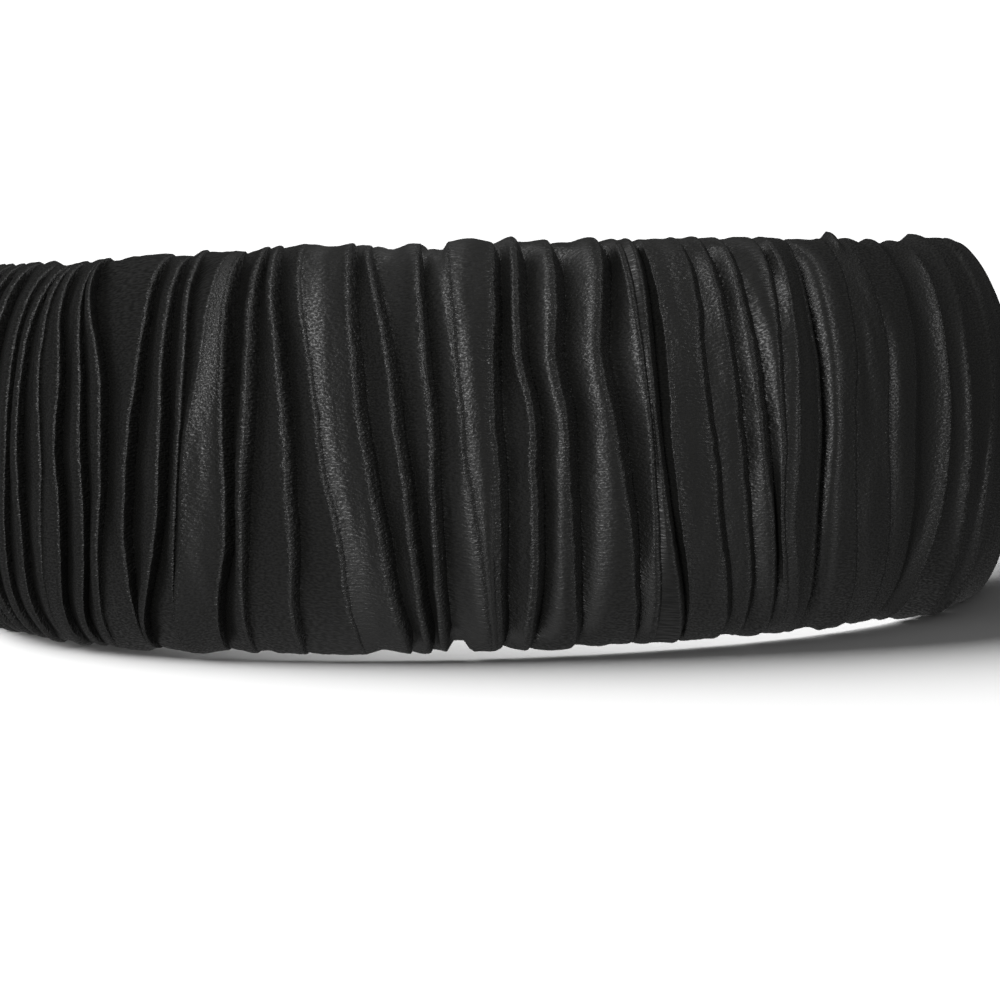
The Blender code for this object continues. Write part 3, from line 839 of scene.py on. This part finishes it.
bpy.ops.object.shade_smooth()
bpy.ops.object.select_all(action="DESELECT")


def grosgrain():
    material, tree = new_material("black_grosgrain_ribbon")
    cloth = node(tree, "ShaderNodeUVMap", {"uv_map": "cloth"}).outputs["UV"]
    ribs = cells(tree, cloth, RIB_PITCH, RIB_YARN)
    wave = node(tree, "ShaderNodeTexWave", {"wave_type": "BANDS", "bands_direction": "X"}, Vector=ribs,
                Scale=ONE_RIB_PER_CELL, Distortion=0.4, Detail=1.0, Detail_Scale=2.0).outputs["Fac"]
    height = blended(tree, noise(tree, ribs, detail=3.0, scale=1.5), FIBRE_SHARE, wave)
    bump = node(tree, "ShaderNodeBump", Strength=0.7, Distance=RIB_RELIEF, Height=height)
    shader = node(tree, "ShaderNodeBsdfPrincipled", Base_Color=toned(tree, wave, "0b0b0b", "1c1c1d"),
                  Roughness=0.72, IOR=1.5, Sheen_Weight=0.15, Sheen_Roughness=0.5, Normal=bump.outputs[0])
    node(tree, "ShaderNodeOutputMaterial", Surface=shader.outputs[0])
    return material


ribbon.data.materials.clear()
ribbon.data.materials.append(grosgrain())
print("ribbon faces:", len(ribbon.data.polygons))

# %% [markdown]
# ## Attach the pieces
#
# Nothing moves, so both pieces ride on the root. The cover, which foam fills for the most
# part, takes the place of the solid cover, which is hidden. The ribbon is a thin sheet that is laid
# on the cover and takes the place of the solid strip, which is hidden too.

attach(satin_cover, "root")
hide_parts("pleated_cover")
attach(ribbon, "root")
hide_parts("inner_band")

# %% [markdown]
# ## Table
#
# The table is plain white, as in a product photo. It is hidden from the rays that would light the
# band or keep light from it. The white room gives the light that a white table would send up,
# which is easier to set, and has no grain.

# %% Table
TABLE_SIZE = 30.0
bpy.ops.mesh.primitive_plane_add(size=TABLE_SIZE, location=(0.0, 0.0, 0.0))
table = bpy.context.object
table.name = "table"
white, tree = new_material("white_table")
shader = node(tree, "ShaderNodeBsdfPrincipled", Base_Color=colour("b4b4b4"), Roughness=0.9)
node(tree, "ShaderNodeOutputMaterial", Surface=shader.outputs[0])
table.data.materials.append(white)
table.visible_diffuse = False
table.visible_glossy = False
table.visible_shadow = False

# %% [markdown]
# ## Lights
#
# Two tall soft lamps stand at the front left and at the right, so each strip of satin is as
# bright as the way it faces. They are flagged, so they fall on the band only. A broad light from
# behind the left, like a large window, falls on the table only and gives the soft shadow at the
# right. The room adds a weak even light, stronger from above, from below where the table would
# send light up, from the front and from the far left. Each row of it gives an axis, the part of
# the axis over which the light changes, and its strength at both ends.

# %% Lights
Lamp = namedtuple("Lamp", "name place size power")
LAMPS = (
    Lamp("key", (-0.52, -1.50, 0.90), (0.30, 2.1), 25.0),
    Lamp("side", (1.40, -0.80, 0.90), (0.25, 2.1), 10.0),
)
LAMP_AIM = (0.0, 0.0, 0.03)
WINDOW_DIRECTION = (-0.095, 0.052, 0.070)
WINDOW_ANGLE = math.radians(68.0)
WINDOW_POWER = 12.2
RoomLight = namedtuple("RoomLight", "axis start end at_start at_end")
ROOM_LIGHTS = (
    RoomLight("Y", -1.0, 1.0, 0.13, 0.03),
    RoomLight("Z", 0.2, 0.9, 0.0, 0.22),
    RoomLight("X", -1.0, -0.2, 0.10, 0.0),
    RoomLight("Z", -0.15, -0.9, 0.0, 0.33),
)


def soft_light(lamp):
    data = bpy.data.lights.new(lamp.name, "AREA")
    data.shape = "RECTANGLE"
    data.size, data.size_y = lamp.size
    data.energy = lamp.power
    light = bpy.data.objects.new(lamp.name, data)
    bpy.context.collection.objects.link(light)
    light.location = lamp.place
    aim = Vector(LAMP_AIM) - Vector(lamp.place)
    light.rotation_euler = aim.to_track_quat("-Z", "Y").to_euler()
    light.visible_camera = False
    return light


def only_on(light, *pieces):
    """Lets a light fall on these pieces alone, as a flagged studio lamp does."""
    lit = bpy.data.collections.new("lit_by_" + light.name)
    for piece in pieces:
        lit.objects.link(piece)
    light.light_linking.receiver_collection = lit


for lamp in LAMPS:
    only_on(soft_light(lamp), satin_cover, ribbon)

sun_data = bpy.data.lights.new("window", "SUN")
sun_data.energy = WINDOW_POWER
sun_data.angle = WINDOW_ANGLE
sun = bpy.data.objects.new("window", sun_data)
bpy.context.collection.objects.link(sun)
sun.rotation_euler = Vector(WINDOW_DIRECTION).to_track_quat("Z", "Y").to_euler()
only_on(sun, table)

world = bpy.data.worlds.new("white_room")
bpy.context.scene.world = world
world.use_nodes = True
world.node_tree.nodes.clear()
tree = world.node_tree
view = node(tree, "ShaderNodeTexCoord").outputs["Generated"]
axes = node(tree, "ShaderNodeSeparateXYZ", Vector=view).outputs
terms = [ranged(tree, axes[light.axis], *light[1:]) for light in ROOM_LIGHTS]
room_light = terms[0]
for term in terms[1:]:
    room_light = node(tree, "ShaderNodeMath", {"operation": "ADD"}, _0=room_light, _1=term).outputs[0]
seen = node(tree, "ShaderNodeLightPath").outputs["Is Camera Ray"]
strength = ranged(tree, seen, 0.0, 1.0, room_light, 1.0)
sky = node(tree, "ShaderNodeBackground", Color=(1.0, 1.0, 1.0, 1.0), Strength=strength)
node(tree, "ShaderNodeOutputWorld", Surface=sky.outputs[0])
bpy.context.scene.view_settings.view_transform = "Standard"

# %% [markdown]
# ## Camera
#
# The camera stands about a metre in front of the band, a few degrees above it and turned by
# under two degrees about its own axis, as it did for the photo. The focal length is given in
# pixels of a picture that is 1000 pixels wide.

# %% Camera
CAMERA_PLACE = (0.0, -1.04324, 0.10326)
CAMERA_AIM = (0.00305, -0.060, 0.02122)
CAMERA_ROLL = math.radians(-1.709)
FOCAL_PIXELS = 7236.2
PICTURE_PIXELS = 1000.0
SENSOR_WIDTH = 36.0
CLIP_START, CLIP_END = 0.05, 60.0
camera_data = bpy.data.cameras.new("camera")
camera_data.sensor_width = SENSOR_WIDTH
camera_data.lens = FOCAL_PIXELS / PICTURE_PIXELS * SENSOR_WIDTH
camera_data.clip_start, camera_data.clip_end = CLIP_START, CLIP_END
camera = bpy.data.objects.new("camera", camera_data)
bpy.context.collection.objects.link(camera)
look = (Vector(CAMERA_AIM) - Vector(CAMERA_PLACE)).to_track_quat("-Z", "Y").to_matrix()
turned = look @ Matrix.Rotation(CAMERA_ROLL, 3, "Z")
camera.matrix_world = Matrix.Translation(CAMERA_PLACE) @ turned.to_4x4()
bpy.context.scene.camera = camera
